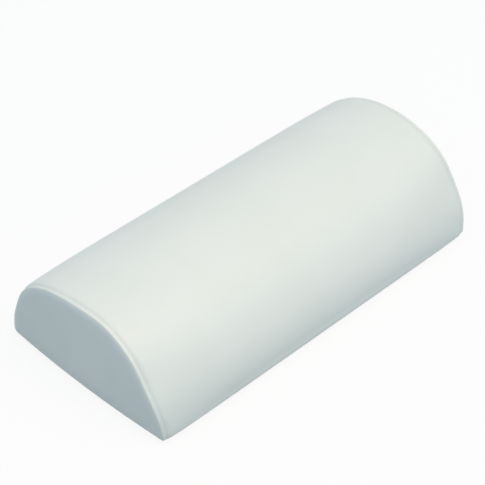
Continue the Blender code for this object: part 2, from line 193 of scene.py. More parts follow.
def arch_line(inset, lowest, steps):
    """The arch in the YZ plane, front to rear, and its outward normals.

    A point at an angle has y as cosine and z as sine, both raised to 2 over the section power. The
    arch is scaled to the half width and the height less the inset, and is cut off at the height lowest.
    """
    half, top = WIDTH / 2 - inset, HEIGHT - inset
    start = math.asin((lowest / top) ** (SECTION_POWER / 2))
    angle = np.linspace(math.pi - start, start, steps + 1)
    share_y = np.abs(np.cos(angle)) ** (2 / SECTION_POWER) * np.sign(np.cos(angle))
    share_z = np.sin(angle) ** (2 / SECTION_POWER)
    points = np.stack([half * share_y, top * share_z], axis=-1)
    slope_y = np.sign(share_y) * np.abs(share_y) ** (SECTION_POWER - 1) / half
    slope_z = share_z ** (SECTION_POWER - 1) / top
    normals = np.stack([slope_y, slope_z], axis=-1)
    return points, normals / np.linalg.norm(normals, axis=-1, keepdims=True)


def arch_height(y, inset):
    """The height of the arch over y, from the superellipse solved for z."""
    half, top = WIDTH / 2 - inset, HEIGHT - inset
    return top * (1 - np.clip(np.abs(y) / half, 0, 1) ** SECTION_POWER) ** (1 / SECTION_POWER)


def in_tray(points):
    """Keeps points inside the turned-up rim of the base, which gives them less room below and more above."""
    x, y, z = np.moveaxis(points, -1, 0)
    heights = [FOAM_LOW, FOAM_LOW + TRAY_ROUND, TRAY_TOP, TRAY_CLEAR]
    room = np.interp(z, heights, [-TRAY_ROUND, 0, 0, TRAY_CLEAR - TRAY_TOP])
    return points_at(np.clip(x, -TRAY_X - room, TRAY_X + room), np.clip(y, -TRAY_Y - room, TRAY_Y + room), z)


def settled(points):
    """Where points of the plain half cylinder lie once the bolster is stuffed and its seams are drawn tight.

    The haunches of the arch sink towards both ends: by the slump, times a bell curve of how far the section
    is tilted there, times e to minus the distance from the end over its run, to the power 1.5. Near the floor
    and deep inside this fades. Both ends lean out with the sine of the height, bow out in the middle of their
    lower edge, and are drawn in at the corners, which are tucked in from the sides too. Along an end, the
    seam is drawn in or let out by a few bell curves of y, each with its end, depth, place and width. The move
    of the ends fades with the cube of the share of the way from the middle, and the lower sides bow out
    between them.
    """
    x, y, z = np.moveaxis(points, -1, 0)
    share_y, share_z = np.abs(y) / (WIDTH / 2), np.clip(z / HEIGHT, 0, 1)
    slope_y = share_y ** (SECTION_POWER - 1) / (WIDTH / 2)
    slope_z = share_z ** (SECTION_POWER - 1) / HEIGHT
    steepness = np.maximum(np.hypot(slope_y, slope_z), 1e-6)
    outness = np.clip(share_y**SECTION_POWER + share_z**SECTION_POWER, 0, 1)
    tilt = np.degrees(np.arctan2(slope_y, slope_z))
    from_end = np.maximum(LENGTH / 2 - np.abs(x), 0)
    off_haunch = tilt - np.where(y < 0, SLUMP_TILT_FRONT, SLUMP_TILT_REAR)
    sinking = SLUMP * outness * np.clip(z / SLUMP_LOW, 0, 1)
    sinking = sinking * bell(off_haunch, SLUMP_SPREAD) * np.exp(-((from_end / SLUMP_RUN) ** 1.5))
    lean = END_LEAN * np.sin(share_z**0.75 * math.pi / 2)
    bow = END_BOW * (1 - outness ** (2 / SECTION_POWER)) * (1 - share_z) ** 2
    reach = lean + bow - CORNER_TUCK
    for end, depth, place, width in DRAWN_IN:
        reach = reach - depth * bell(y - place, width) * share_z**2 * (x * end > 0)
    share_x = np.abs(x) / (LENGTH / 2)
    tuck = SIDE_TUCK * bell(np.hypot(from_end, z), SIDE_TUCK_RUN) - SIDE_BOW * (1 - share_x**6)
    return points_at(
        x + reach * np.sign(x) * share_x**3,
        y - (sinking * slope_y / steepness + tuck * share_y**4) * np.sign(y),
        z - sinking * slope_z / steepness,
    )


def skin(name, grids, sharp=None, seams=None, welded=True):
    """An object of grids of points, welded where they meet, with its faces turned outwards.

    A grid is rows by columns of points, and one with a fourth axis in front is many such grids. The seams
    say how near each point is to a seam, from 0 to 1, and are kept for the finish.
    """
    points, faces, first = [], [], 0
    for grid in grids:
        index = first + np.arange(grid[..., 0].size).reshape(grid.shape[:-1])
        corners = (index[..., :-1, :-1], index[..., :-1, 1:], index[..., 1:, 1:], index[..., 1:, :-1])
        faces.append(np.stack(corners, axis=-1).reshape(-1, 4))
        points.append(grid.reshape(-1, 3))
        first += index.size
    mesh = bpy.data.meshes.new(name)
    mesh.from_pydata(np.concatenate(points).tolist(), [], np.concatenate(faces).tolist())
    if seams is not None:
        near = np.concatenate([seam.ravel() for seam in seams]).astype(np.float32)
        mesh.attributes.new("seam", "FLOAT", "POINT").data.foreach_set("value", near)
    if welded:
        shape = bmesh.new()
        shape.from_mesh(mesh)
        bmesh.ops.remove_doubles(shape, verts=shape.verts, dist=0.002 * MM)
        bmesh.ops.dissolve_degenerate(shape, edges=shape.edges, dist=0.001 * MM)
        bmesh.ops.recalc_face_normals(shape, faces=shape.faces)
        shape.to_mesh(mesh)
        shape.free()
    mesh.shade_smooth()
    if sharp:
        mesh.set_sharp_from_angle(angle=math.radians(sharp))
    made = bpy.data.objects.new(name, mesh)
    bpy.context.scene.collection.objects.link(made)
    return made


def bar(name, lower, upper, sharp=35):
    """A closed solid between two sheets of points, stations by points, with strips across at both ends."""
    around = np.concatenate([lower, upper[:, ::-1], lower[:, :1]], axis=1)
    ends = [np.stack([lower[end], upper[end]]) for end in (0, -1)]
    return skin(name, [around, *ends], sharp)


def ease_edges(piece, width):
    """Bevels the edges of a piece where its faces meet at more than 35 degrees."""
    bevel = piece.modifiers.new("eased edges", "BEVEL")
    bevel.width = width
    bevel.segments = 2
    bevel.limit_method = "ANGLE"
    bevel.angle_limit = math.radians(35)


def dress(piece, body, slot, *materials):
    """Gives a finished piece its materials and its body. Its material slot is not used."""
    piece.data.materials.clear()
    for material in materials:
        piece.data.materials.append(material)
    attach(piece, body)


FOAM_EDGE = 7 * MM
foam_edge = np.array([0, 0.4, 1.2, 2.4, 4.0]) * MM
foam_plain = np.linspace(FOAM_EDGE - FOAM_END_X, FOAM_END_X - FOAM_EDGE, 82)
foam_stations = np.concatenate([foam_edge - FOAM_END_X, foam_plain, FOAM_END_X - foam_edge[::-1]])


def foam_side(y, z):
    """One side of a piece of foam at all its stations, kept inside the rim of the base and settled."""
    return settled(in_tray(points_at(foam_stations[:, None], y, z)))


core_arch, _ = arch_line(CORE_INSET, FOAM_LOW, 120)
side_y = core_arch[core_arch[:, 0] < -GROOVE_HALF, 0]
steps_y = np.array([GROOVE_HALF, GROOVE_HALF, 0.5 * (GROOVE_HALF + SLIDER_HALF), SLIDER_HALF, SLIDER_HALF])
steps_z = np.array([FOAM_LOW, GROOVE_TOP, GROOVE_TOP, GROOVE_TOP, SLIDER_TOP])
core_y = np.concatenate([side_y, -steps_y, [0], steps_y[::-1], -side_y[::-1]])
under_z = np.concatenate([FOAM_LOW + 0 * side_y, steps_z, [SLIDER_TOP], steps_z[::-1], FOAM_LOW + 0 * side_y])
over_z = np.maximum(arch_height(core_y, CORE_INSET), FOAM_LOW)
core = bar("firm_foam_core", foam_side(core_y, under_z), foam_side(core_y, over_z))
ease_edges(core, 0.8 * MM)
firm_foam = foam_finish("firm foam", (0.80, 0.81, 0.74), (0.60, 0.62, 0.55), 0.9 * MM, 0.95)
dress(core, "cover", "firm_foam", firm_foam)
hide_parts("foam_core")

# The comfort layer. It is a sheet of softer foam, glued over the arch of the core, that keeps the vinyl
# full and free of wrinkles. The folded seams at both ends of the cover press its edges in.
PRESSED = 2 * (VINYL + GAP) + GAP
PRESSED_FLAT, PRESSED_LENGTH = 11 * MM, 26 * MM
FOAM_ROUND = 3.0 * MM
outer_line, outer_normals = arch_line(FOAM_LOW, FOAM_LOW, 130)
inner_line, _ = arch_line(FOAM_LOW + COMFORT_THICKNESS, FOAM_LOW, 130)
from_end = FOAM_END_X - np.abs(foam_stations)
release = np.clip((from_end - PRESSED_FLAT) / (PRESSED_LENGTH - PRESSED_FLAT), 0, 1)
rounding = FOAM_ROUND - np.sqrt(FOAM_ROUND**2 - np.clip(FOAM_ROUND - from_end, 0, FOAM_ROUND) ** 2)
pressed = PRESSED * (0.5 + 0.5 * np.cos(np.pi * release)) + rounding
over = outer_line[None] - pressed[:, None, None] * outer_normals[None]
layer = bar("soft_foam_layer", foam_side(*inner_line.T), foam_side(over[..., 0], over[..., 1]))
ease_edges(layer, 0.4 * MM)
soft_foam = foam_finish("soft foam", (0.90, 0.88, 0.78), (0.72, 0.69, 0.57), 1.4 * MM, 0.96)
dress(layer, "cover", "soft_foam", soft_foam)
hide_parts("comfort_layer")

# The base of the cover: two panels of the same coated vinyl, cut with round corners. Three edges of each
# turn up inside the cover, where the wrap and the ends are sewn to them, and the fourth rolls up to the zip.
UP = np.array((0.0, 0.0, 1.0))
ALLOWANCE = 10 * MM
FOLD_RADIUS = 0.62 * MM
BASE_TURN = math.radians(93)
BASE_END_INSET, BASE_SIDE_INSET = 3.83 * MM, 5.2 * MM
BASE_BEND_RADIUS = 4.45 * MM
BASE_CORNER = 3 * MM
SLOT_HALF = 7 * MM
ROLL_RADIUS = 2.4 * MM
ROLL_RETURN = 12 * MM
SEWN_BACK = 5.2 * MM
SEWN_DEPTH, SEWN_SPREAD = 0.45 * MM, 1.1 * MM
# How far the shade painted along the zip stitching of the base spreads.
SEAM_SHADE_SPREAD = 1.6 * MM
PEBBLE, PIT = 1.1 * MM, 0.5 * MM
WHITE = (0.80, 0.835, 0.795)
CLEAN_WHITE = (0.825, 0.85, 0.825)
# The grey of the shade painted along the seams of the vinyl.
SEAM_SHADE_GREY = (0.66, 0.70, 0.69)


def vinyl_finish():
    """Coated vinyl: a grain of small pebbles, faint clouds of tone, and painted shade that greys it along its
    seams.
    """
    vinyl = Finish("white coated vinyl")
    place = vinyl.place()
    pebbles = vinyl.cells(place, 1 / PEBBLE, "SMOOTH_F1", 0.9)
    pits = vinyl.noise(place, 1 / PIT, 3.0, 0.6)
    clouds = vinyl.noise(place, 11.0, 4.0, 0.55)
    handling_and_shade = vinyl.noise(place, 38.0, 5.0, 0.6)
    seam = vinyl.node("ShaderNodeAttribute", {"attribute_name": "seam"}, output=2)
    tone = vinyl.mix(vinyl.eased(clouds, 0.3, 0.7), WHITE, CLEAN_WHITE)
    # Painted shade: the seam attribute greys the vinyl in uneven patches along its seams and ditches.
    painted_shade = seam * vinyl.eased(handling_and_shade, 0.25, 0.75, 0.35, 1.0) * 0.5
    return vinyl.surface(
        Base_Color=vinyl.mix(painted_shade, tone, SEAM_SHADE_GREY),
        Roughness=0.40 + vinyl.eased(handling_and_shade, 0.3, 0.7) * 0.07 + pits * 0.05 + seam * 0.08,
        Normal=vinyl.relief(pebbles * 0.8 + pits * 0.35, 0.09 * MM, 0.45),
    )


def backing_finish():
    """The knitted backing of the vinyl: fine loops in rows, each about 0.8 mm apart, with painted shade
    between them.
    """
    knit = Finish("knitted backing")
    place = knit.place()
    loops = knit.cells(knit.stretched(place, (1.0, 1.6, 1.6)), 1 / (0.8 * MM), "F1", 0.35)
    fuzz = knit.noise(place, 1 / (0.6 * MM), 4.0)
    return knit.surface(
        # Painted shade: darker between the loops.
        Base_Color=knit.mix(knit.eased(loops, 0.1, 0.6), (0.80, 0.80, 0.77), (0.62, 0.62, 0.58)),
        Roughness=0.86 + fuzz * 0.1,
        Normal=knit.relief(fuzz * 0.4 - loops, 0.25 * MM, 0.6),
    )


def stepped(length, fine, coarse, margin):
    """Places from 0 to length, in fine steps within margin of both ends, which grow to coarse between."""
    near = np.linspace(0, margin, max(2, round(margin / fine)) + 1)
    easing = margin + np.cumsum(np.geomspace(fine * 1.3, coarse, 6))
    count = max(2, round((length - 2 * easing[-1]) / coarse))
    middle = np.linspace(easing[-1], length - easing[-1], count + 1)
    return np.concatenate([near, easing[:-1], middle, length - easing[-2::-1], length - near[::-1]])


def cut_panel(u, v, corner):
    """A grid over a flat cut with round corners, the line round its edge, and which way is out on that line.

    u and v are the places along both sides. In a corner, the shares a and b of the way out along u and v
    give a place of a root(1 - b*b/2) and b root(1 - a*a/2), times the corner's radius. That carries a square
    to a quarter circle.
    """
    grid_u, grid_v = np.meshgrid(u, v, indexing="ij")
    core_u = np.clip(grid_u, u[0] + corner, u[-1] - corner)
    core_v = np.clip(grid_v, v[0] + corner, v[-1] - corner)
    a, b = (grid_u - core_u) / corner, (grid_v - core_v) / corner
    out = np.stack([a * np.sqrt(1 - b * b / 2), b * np.sqrt(1 - a * a / 2)], axis=-1)
    flat = np.stack([core_u, core_v], axis=-1) + corner * out
    return flat, round_edge(flat), round_edge(out)


def round_edge(grid):
    """The points on the edge of a grid as one closed line."""
    return np.concatenate([grid[:-1, 0], grid[-1, :-1], grid[:0:-1, -1], grid[0, ::-1]])


def swept(edge, outward, inward, *bends):
    """Carries an edge on along a path of bends, as one grid from the edge line to the path's end.

    Each bend has a length, an angle that the path turns by over it, and a number of steps. The path starts
    outward and turns towards inward. A step is the chord of its arc, which is the arc times the sine of half
    its turn over half its turn, in the direction half way through it.
    """
    lines, heading = [edge], 0.0
    for length, angle, steps in bends:
        length, angle = np.reshape(length, (-1, 1)), np.reshape(angle, (-1, 1))
        chord = length / steps * np.sinc(angle / steps / math.tau)
        for step in range(steps):
            way = heading + angle * (step + 0.5) / steps
            lines.append(lines[-1] + chord * np.cos(way) * outward + chord * np.sin(way) * inward)
        heading = heading + angle
    return np.stack(lines)


def vinyl_sheet(name, grids, seams, middle=(0, 0, 0.45 * HEIGHT)):
    """A sheet of vinyl whose middle surface is made of grids, and the area of that surface.

    The vinyl face is the one whose normals, times the areas, point away from the middle on the whole. The
    other is knit.
    """
    piece = skin(name, grids, seams=seams)
    count = len(piece.data.polygons)
    normals, centres, areas = np.zeros(3 * count), np.zeros(3 * count), np.zeros(count)
    piece.data.polygons.foreach_get("normal", normals)
    piece.data.polygons.foreach_get("center", centres)
    piece.data.polygons.foreach_get("area", areas)
    facing = np.einsum("ij,ij,i->", normals.reshape(-1, 3), centres.reshape(-1, 3) - middle, areas)
    if facing < 0:
        piece.data.flip_normals()
    shell = piece.modifiers.new("thickness", "SOLIDIFY")
    shell.thickness = VINYL
    shell.offset = 0
    shell.material_offset = 1
    return piece, areas.sum()


white_vinyl = vinyl_finish()
knit_backing = backing_finish()
base_length = 2 * (END_EDGE_X - BASE_END_INSET - VINYL / 2 - BASE_BEND_RADIUS)
base_outer = WIDTH / 2 - BASE_SIDE_INSET - VINYL / 2 - BASE_BEND_RADIUS
base_inner = SLOT_HALF + VINYL / 2 + ROLL_RADIUS
base_width = base_outer - base_inner
along = stepped(base_length, 0.8 * MM, 6 * MM, 6 * MM) - base_length / 2
across = stepped(base_width, 0.6 * MM, 5 * MM, 8 * MM)
flat, rim, out = cut_panel(along, across, BASE_CORNER)
sewn = bell(flat[..., 1] - SEWN_BACK, SEWN_SPREAD)
rolled = np.clip(-out[:, 1], 0, 1) ** 2
radius = BASE_BEND_RADIUS + rolled * (ROLL_RADIUS - BASE_BEND_RADIUS)
turn = BASE_TURN + rolled * (math.pi - BASE_TURN)
clear = np.clip((base_length / 2 - np.abs(rim[:, 0])) / ROLL_RETURN, 0.25, 1)
flap = ALLOWANCE * (1 - rolled) + rolled * ROLL_RETURN * clear
halves = (("base_cover_front", "base_panel_front", -1), ("base_cover_rear", "base_panel_rear", 1))
for name, node, side in halves:
    panel = points_at(flat[..., 0], side * (base_inner + flat[..., 1]), VINYL / 2 + SEWN_DEPTH * sewn)
    outward = points_at(out[:, 0], side * out[:, 1], 0)
    turned = swept(round_edge(panel), outward, UP, (radius * turn, turn, 8), (flap, 0.0, 5))
    # Painted shade: the vinyl greys along the stitched dip beside the zip.
    seam_shade = [bell(flat[..., 1] - SEWN_BACK, SEAM_SHADE_SPREAD), np.zeros(turned.shape[:-1])]
    base, _ = vinyl_sheet(name, [settled(panel), settled(turned)], seam_shade)
    dress(base, "cover", "vinyl", white_vinyl, knit_backing)
    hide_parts(node)
    cut = (
        base_length + 2 * (BASE_BEND_RADIUS * BASE_TURN + ALLOWANCE),
        base_width + BASE_BEND_RADIUS * BASE_TURN + ALLOWANCE + ROLL_RADIUS * math.pi + ROLL_RETURN,
    )

# The tapes of the zip, woven from white polyester in a herringbone. The teeth grip a corded edge, and the
# rest of each tape is sewn flat on the rolled edge of its base panel.
TAPE_THICKNESS = 0.6 * MM
TAPE_Z = 2 * ROLL_RADIUS + VINYL + GAP + TAPE_THICKNESS / 2
TAPE_INNER = 3.9 * MM
TAPE_OUTER = 19 * MM
TAPE_LENGTH = 483 * MM
CORD_RADIUS = 0.75 * MM
CORD_Y = 3.5 * MM
RIB, SLANT_WIDTH, YARN = 0.9 * MM, 2.5 * MM, 0.45 * MM


def weave_finish():
    """Herringbone tape: ribs that change their slant at an even breadth, crossed by fine yarns, with painted
    shade in the hollows.

    Ribs are the sine of the length plus the breadth folded to and fro, and yarns that of the breadth.
    """
    tape = Finish("woven zip tape")
    flat = tape.place("UV")
    length = tape.node("ShaderNodeSeparateXYZ", {}, {"Vector": flat})
    breadth = tape.node("ShaderNodeSeparateXYZ", {}, {"Vector": flat}, output=1)
    zigzag = tape.node("ShaderNodeMath", {"operation": "PINGPONG"}, {0: breadth, 1: SLANT_WIDTH})
    ribs = tape.node("ShaderNodeMath", {"operation": "SINE"}, {0: (length + zigzag) * (math.tau / RIB)})
    yarns = tape.node("ShaderNodeMath", {"operation": "SINE"}, {0: breadth * (math.tau / YARN)})
    raised = 0.5 + ribs * 0.35 + yarns * 0.15
    lint = tape.noise(tape.place(), 1 / (0.4 * MM), 3.0)
    return tape.surface(
        # Painted shade: the low parts of the weave are darker.
        Base_Color=tape.mix(raised, (0.66, 0.68, 0.67), (0.84, 0.86, 0.85)),
        Roughness=0.80 + lint * 0.12,
        Normal=tape.relief(raised, 0.12 * MM, 0.8),
    )


def lay_flat_map(piece):
    """A UV map in metres: U runs along the bolster and V across it, so that a weave follows the piece."""
    corners = np.zeros(len(piece.data.loops), np.int32)
    piece.data.loops.foreach_get("vertex_index", corners)
    points = np.zeros(3 * len(piece.data.vertices), np.float32)
    piece.data.vertices.foreach_get("co", points)
    layout = piece.data.uv_layers.new(name="flat")
    layout.data.foreach_set("uv", points.reshape(-1, 3)[corners, :2].ravel())


woven_tape = weave_finish()
round_cord = np.radians(np.linspace(40, 180, 8))
flat_y = np.linspace(TAPE_OUTER - 0.2 * MM, TAPE_INNER + 0.6 * MM, 14)
section_y = np.concatenate([flat_y, CORD_Y + CORD_RADIUS * np.cos(round_cord)])
section_z = np.concatenate([0 * flat_y + TAPE_THICKNESS / 2, CORD_RADIUS * np.sin(round_cord)])
stations = np.linspace(-TAPE_LENGTH / 2, TAPE_LENGTH / 2, 60)[:, None]
for name, node, side in (("tape_front", "zip_tape_front", -1), ("tape_rear", "zip_tape_rear", 1)):
    lower, upper = (points_at(stations, side * section_y, TAPE_Z + sign * section_z) for sign in (-1, 1))
    tape = bar(name, lower, upper, sharp=50)
    lay_flat_map(tape)
    dress(tape, "cover", "zip_tape", woven_tape)
    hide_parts(node)
    cut = (TAPE_OUTER - TAPE_INNER + 2 * MM, TAPE_LENGTH)

# The teeth of the zip, moulded in white acetal straight on the corded edges of the tapes. A tooth is a
# clamp round the cord, a narrow neck, and a flared head that hooks behind the necks of the other row.
TOOTH_PITCH = 4 * MM
CHAIN_START, CHAIN_END = -226 * MM, 207 * MM
TOOTH_STATIONS = np.array([4.3, 4.3, 3.9, 2.4, 1.9, 0.2, -0.35, -0.9, -0.9]) * MM
TOOTH_HALF_WIDTHS = np.array([0, 0.75, 0.95, 0.95, 0.6, 0.6, 1.1, 1.0, 0]) * MM
TOOTH_HALF_HEIGHTS = np.array([0, 1.1, 1.35, 1.35, 1.25, 1.25, 1.25, 1.1, 0]) * MM


def teeth_finish():
    """Moulded acetal: glossy white, a little uneven from the mould."""
    acetal = Finish("moulded zip teeth")
    flow = acetal.noise(acetal.place(), 260.0, 3.0)
    return acetal.surface(
        Base_Color=acetal.mix(acetal.eased(flow, 0.3, 0.7), (0.76, 0.78, 0.77), (0.82, 0.84, 0.83)),
        Roughness=0.30 + flow * 0.12,
        Normal=acetal.relief(flow, 0.05 * MM, 0.4),
    )


def row_of_teeth(name, side):
    """Every tooth of one row.

    Along a tooth, from root to head, its half width and half height follow the table of its stations, and
    round it the outline is a superellipse of power 4.
    """
    turn = np.linspace(0, math.tau, 9)
    round_x, round_z = (np.sign(wave) * np.abs(wave) ** 0.5 for wave in (np.cos(turn), np.sin(turn)))
    start = CHAIN_START + (TOOTH_PITCH / 2 if side > 0 else 0)
    places = np.arange(start, CHAIN_END, TOOTH_PITCH)[:, None, None]
    x = places + TOOTH_HALF_WIDTHS[:, None] * round_x
    z = TAPE_Z + TOOTH_HALF_HEIGHTS[:, None] * round_z
    return skin(name, [points_at(x, side * TOOTH_STATIONS[:, None], z)], sharp=60)


acetal_white = teeth_finish()
for name, node, side in (("teeth_front", "zip_teeth_front", -1), ("teeth_rear", "zip_teeth_rear", 1)):
    teeth = row_of_teeth(name, side)
    dress(teeth, "cover", "zip_teeth", acetal_white)
    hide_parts(node)

# The end tabs: a strip of the same vinyl folded round each end of the tapes and sewn through. They hold
# the ends of the tapes together, and the slider stops against them.
ALONG = np.array((1.0, 0.0, 0.0))
TAB_X = 216 * MM
TAB_HALF = SLOT_HALF - GAP
TAB_RADIUS = 1.5 * MM + GAP + VINYL / 2
TAB_BEND_X = TAPE_LENGTH / 2 + GAP
TAB_SEWN_BACK = 4 * MM
TAB_SEWN_DEPTH, TAB_SEWN_SPREAD = 0.35 * MM, 1.0 * MM
# How far the shade painted along the tab's stitching spreads.
TAB_SEAM_SHADE_SPREAD = 1.5 * MM
tab_run = TAB_BEND_X - TAB_X
tab_length = np.linspace(0, tab_run, 33)[:, None]
tab_across = np.linspace(-TAB_HALF, TAB_HALF, 25)
tab_z = TAPE_Z - TAB_RADIUS + TAB_SEWN_DEPTH * bell(tab_length - TAB_SEWN_BACK, TAB_SEWN_SPREAD)
for name, node, side in (("end_tab_left", "zip_end_tab_left", -1), ("end_tab_right", "zip_end_tab_right", 1)):
    lower = points_at(side * (TAB_X + tab_length), tab_across, tab_z)
    bend = swept(lower[-1], ALONG * side, UP, (TAB_RADIUS * math.pi, math.pi, 12), (tab_run, 0.0, 12))
    # Painted shade along the stitched dip across the tab.
    painted_shade = bell(tab_length - TAB_SEWN_BACK, TAB_SEAM_SHADE_SPREAD)
    seam_shade = [np.broadcast_to(painted_shade, lower.shape[:-1]), np.zeros(bend.shape[:-1])]
    tab, _ = vinyl_sheet(name, [lower, bend], seam_shade, middle=(side * TAB_X, 0, TAPE_Z))
    dress(tab, "cover", "vinyl", white_vinyl, knit_backing)
    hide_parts(node)
    cut = (2 * TAB_HALF, 2 * tab_run + math.pi * TAB_RADIUS)

# The slider, die-cast in zinc and plated. Its two plates run above and below the chain, a wedge between
# them parts the teeth, and a loop under the lower plate holds the pull.


def zinc_finish():
    """Plated zinc: cool grey metal with fine rubbing marks along it and duller casting skin in clouds."""
    zinc = Finish("plated zinc")
    place = zinc.place()
    rubbed = zinc.noise(zinc.stretched(place, (0.12, 1.0, 1.0)), 1 / (0.12 * MM), 3.0)
    clouds = zinc.noise(place, 220.0, 4.0)
    return zinc.surface(
        Base_Color=zinc.mix(zinc.eased(clouds, 0.35, 0.7), (0.62, 0.63, 0.64), (0.50, 0.51, 0.53)),
        Metallic=0.95,
        Roughness=0.22 + rubbed * 0.14 + zinc.eased(clouds, 0.4, 0.75) * 0.12,
        Normal=zinc.relief(rubbed, 0.01 * MM, 0.3),
    )


def cast_copy(node, name, ease):
    """A welded copy of a cast CAD piece, with its flat faces joined and its edges eased as casting does."""
    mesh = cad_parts[node].data.copy()
    mesh.name = name
    shape = bmesh.new()
    shape.from_mesh(mesh)
    bmesh.ops.remove_doubles(shape, verts=shape.verts, dist=0.005 * MM)
    bmesh.ops.dissolve_limit(shape, angle_limit=math.radians(1), verts=shape.verts, edges=shape.edges)
    shape.to_mesh(mesh)
    shape.free()
    mesh.shade_smooth()
    mesh.set_sharp_from_angle(angle=math.radians(40))
    piece = bpy.data.objects.new(name, mesh)
    bpy.context.scene.collection.objects.link(piece)
    ease_edges(piece, ease)
    return piece


plated_zinc = zinc_finish()
slider = cast_copy("zip_slider", "cast_slider", 0.12 * MM)
dress(slider, "slider", "zinc", plated_zinc)
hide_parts("zip_slider")

# The pull of the slider, cast in the same plated zinc. It is a flat bar with a slot near its free end and
# a square eye at the other, threaded on the slider's loop before that was pressed shut.
pull = cast_copy("zip_pull", "cast_pull", 0.15 * MM)
dress(pull, "pull", "zinc", plated_zinc)
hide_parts("zip_pull")

# The end panels: two D shaped cuts of vinyl. The stuffing presses each out to a soft cushion, which rolls
# over the rim and dips under the folded edge of the wrap. Its straight edge is hemmed over the base.
SEAM_BACK, SEAM_PULL = 1.5 * MM, 0.5 * MM
SEAM_DIP, NOSE_BACK = math.radians(90), 0.5 * MM
WRAP_EDGE_X = END_EDGE_X - SEAM_BACK - VINYL / 2 - FOLD_RADIUS
END_INSET = 1.46 * MM
CAP_INSET = SEAM_PULL + 0.1 * MM + VINYL / 2
FLAP_INSET = SEAM_PULL + 1.5 * VINYL + 2 * FOLD_RADIUS
END_CORNER = 5.5 * MM
END_EDGE_Z = 6 * MM
END_EDGE_RADIUS = END_EDGE_Z - VINYL / 2
END_EDGE_TURN = math.radians(35)
END_LOW_Z = END_EDGE_Z - END_EDGE_RADIUS * math.sin(END_EDGE_TURN)
ROLL, ROLL_SPREAD = 1.0 * MM, 2.6 * MM
HEM_FROM = 0.72
FLAP_SLANT, FLAP_LEAST, FLAP_BACK = 0.8, 2 * MM, 1 * MM
# Where the shade painted on the allowance under the wrap begins, over how many lines it grows, and its most.
SHADE_START, SHADE_LINES, SHADE_MOST = 12, 6, 0.5
WRAP_EDGE_Z = 10 * MM
WRAP_EDGE_RADIUS = WRAP_EDGE_Z - VINYL / 2
WRAP_EDGE_TURN = math.radians(45)
SIDE_LEAN = BASE_TURN - math.pi / 2
CLOTH_FRAMES = 20
FILL_PRESSURE = 4.0
END_LIFT = 0.8 * MM


def wrap_line():
    """The middle line of the wrap round the arch, front to rear: lengths from its start, points and normals.

    Both ends round over the lower edge on a circle of the edge's radius, through the edge's turn.
    """
    arch, normals = arch_line(VINYL / 2, WRAP_EDGE_Z, 1500)
    turn = np.linspace(WRAP_EDGE_TURN, -math.asin(normals[0, 1]), 80)
    out = -np.stack([np.cos(turn), np.sin(turn)], axis=-1)
    edge = arch[0] + WRAP_EDGE_RADIUS * (out[:-1] - out[-1])
    out = out[:-1]
    points = np.vstack([edge, arch, edge[::-1] * (-1, 1)])
    normals = np.vstack([out, normals, out[::-1] * (-1, 1)])
    lengths = np.concatenate([[0], np.cumsum(np.linalg.norm(np.diff(points, axis=0), axis=1))])
    return lengths, points, normals


wrap_lengths, wrap_points, wrap_normals = wrap_line()
girth = wrap_lengths[-1]


def on_wrap(length, x):
    """Points of the wrap's middle surface at a length round the arch and an x, and the normals there."""
    lines = (*wrap_points.T, *wrap_normals.T)
    y, z, across, upward = (np.interp(length, wrap_lengths, line) for line in lines)
    return points_at(x, y, z), points_at(0, across, upward)


def end_face_x(z):
    """How far out the flat end lies at a height. Its lowest strip rounds under on a circle."""
    under = np.clip(END_EDGE_Z - z, 0, END_EDGE_RADIUS)
    return END_EDGE_X - VINYL / 2 - END_EDGE_RADIUS + np.sqrt(END_EDGE_RADIUS**2 - under**2)


def pressed_by_stuffing(patches):
    """How far each point of some grids moves when the closed cover that they form is blown up as cloth.

    The faces of each grid look outwards. Its edge is a held seam. The move is that of the cloth's last frame.
    """
    probe = skin("stuffing probe", patches, welded=False)
    held = probe.vertex_groups.new(name="held")
    firsts = np.cumsum([0, *(patch[..., 0].size for patch in patches)])
    for patch, first in zip(patches, firsts):
        index = first + np.arange(patch[..., 0].size).reshape(patch.shape[:-1])
        held.add(round_edge(index).tolist(), 1.0, "REPLACE")
    cloth = probe.modifiers.new("cloth", "CLOTH")
    cloth.settings.quality = 5
    cloth.settings.vertex_group_mass = "held"
    cloth.settings.use_pressure = True
    cloth.settings.uniform_pressure_force = FILL_PRESSURE
    cloth.settings.effector_weights.gravity = 0
    cloth.point_cache.frame_end = CLOTH_FRAMES
    for step in range(1, CLOTH_FRAMES + 1):
        bpy.context.scene.frame_set(step)
    blown = probe.evaluated_get(bpy.context.evaluated_depsgraph_get()).to_mesh()
    points = np.zeros(3 * len(blown.vertices), np.float32)
    blown.vertices.foreach_get("co", points)
    bpy.context.scene.frame_set(1)
    bpy.data.objects.remove(probe)
    moved = points.reshape(-1, 3) - np.concatenate([patch.reshape(-1, 3) for patch in patches])
    return [part.reshape(patch.shape) for part, patch in zip(np.split(moved, firsts[1:-1]), patches)]


def looked_up(grid, row, column):
    """The value of a grid between its points: row and column are shares from 0 to 1 of the way across it."""
    row = np.clip(row, 0, 1) * (grid.shape[0] - 1)
    column = np.clip(column, 0, 1) * (grid.shape[1] - 1)
    r = np.minimum(row.astype(int), grid.shape[0] - 2)
    c = np.minimum(column.astype(int), grid.shape[1] - 2)
    a, b = row - r, column - c
    near = grid[r, c] * (1 - b) + grid[r, c + 1] * b
    far = grid[r + 1, c] * (1 - b) + grid[r + 1, c + 1] * b
    return near * (1 - a) + far * a


def softly_capped(lift, limit):
    """A lift that follows its own value while it is small, and never passes the limit."""
    return limit * np.tanh(np.maximum(lift, 0) / limit)


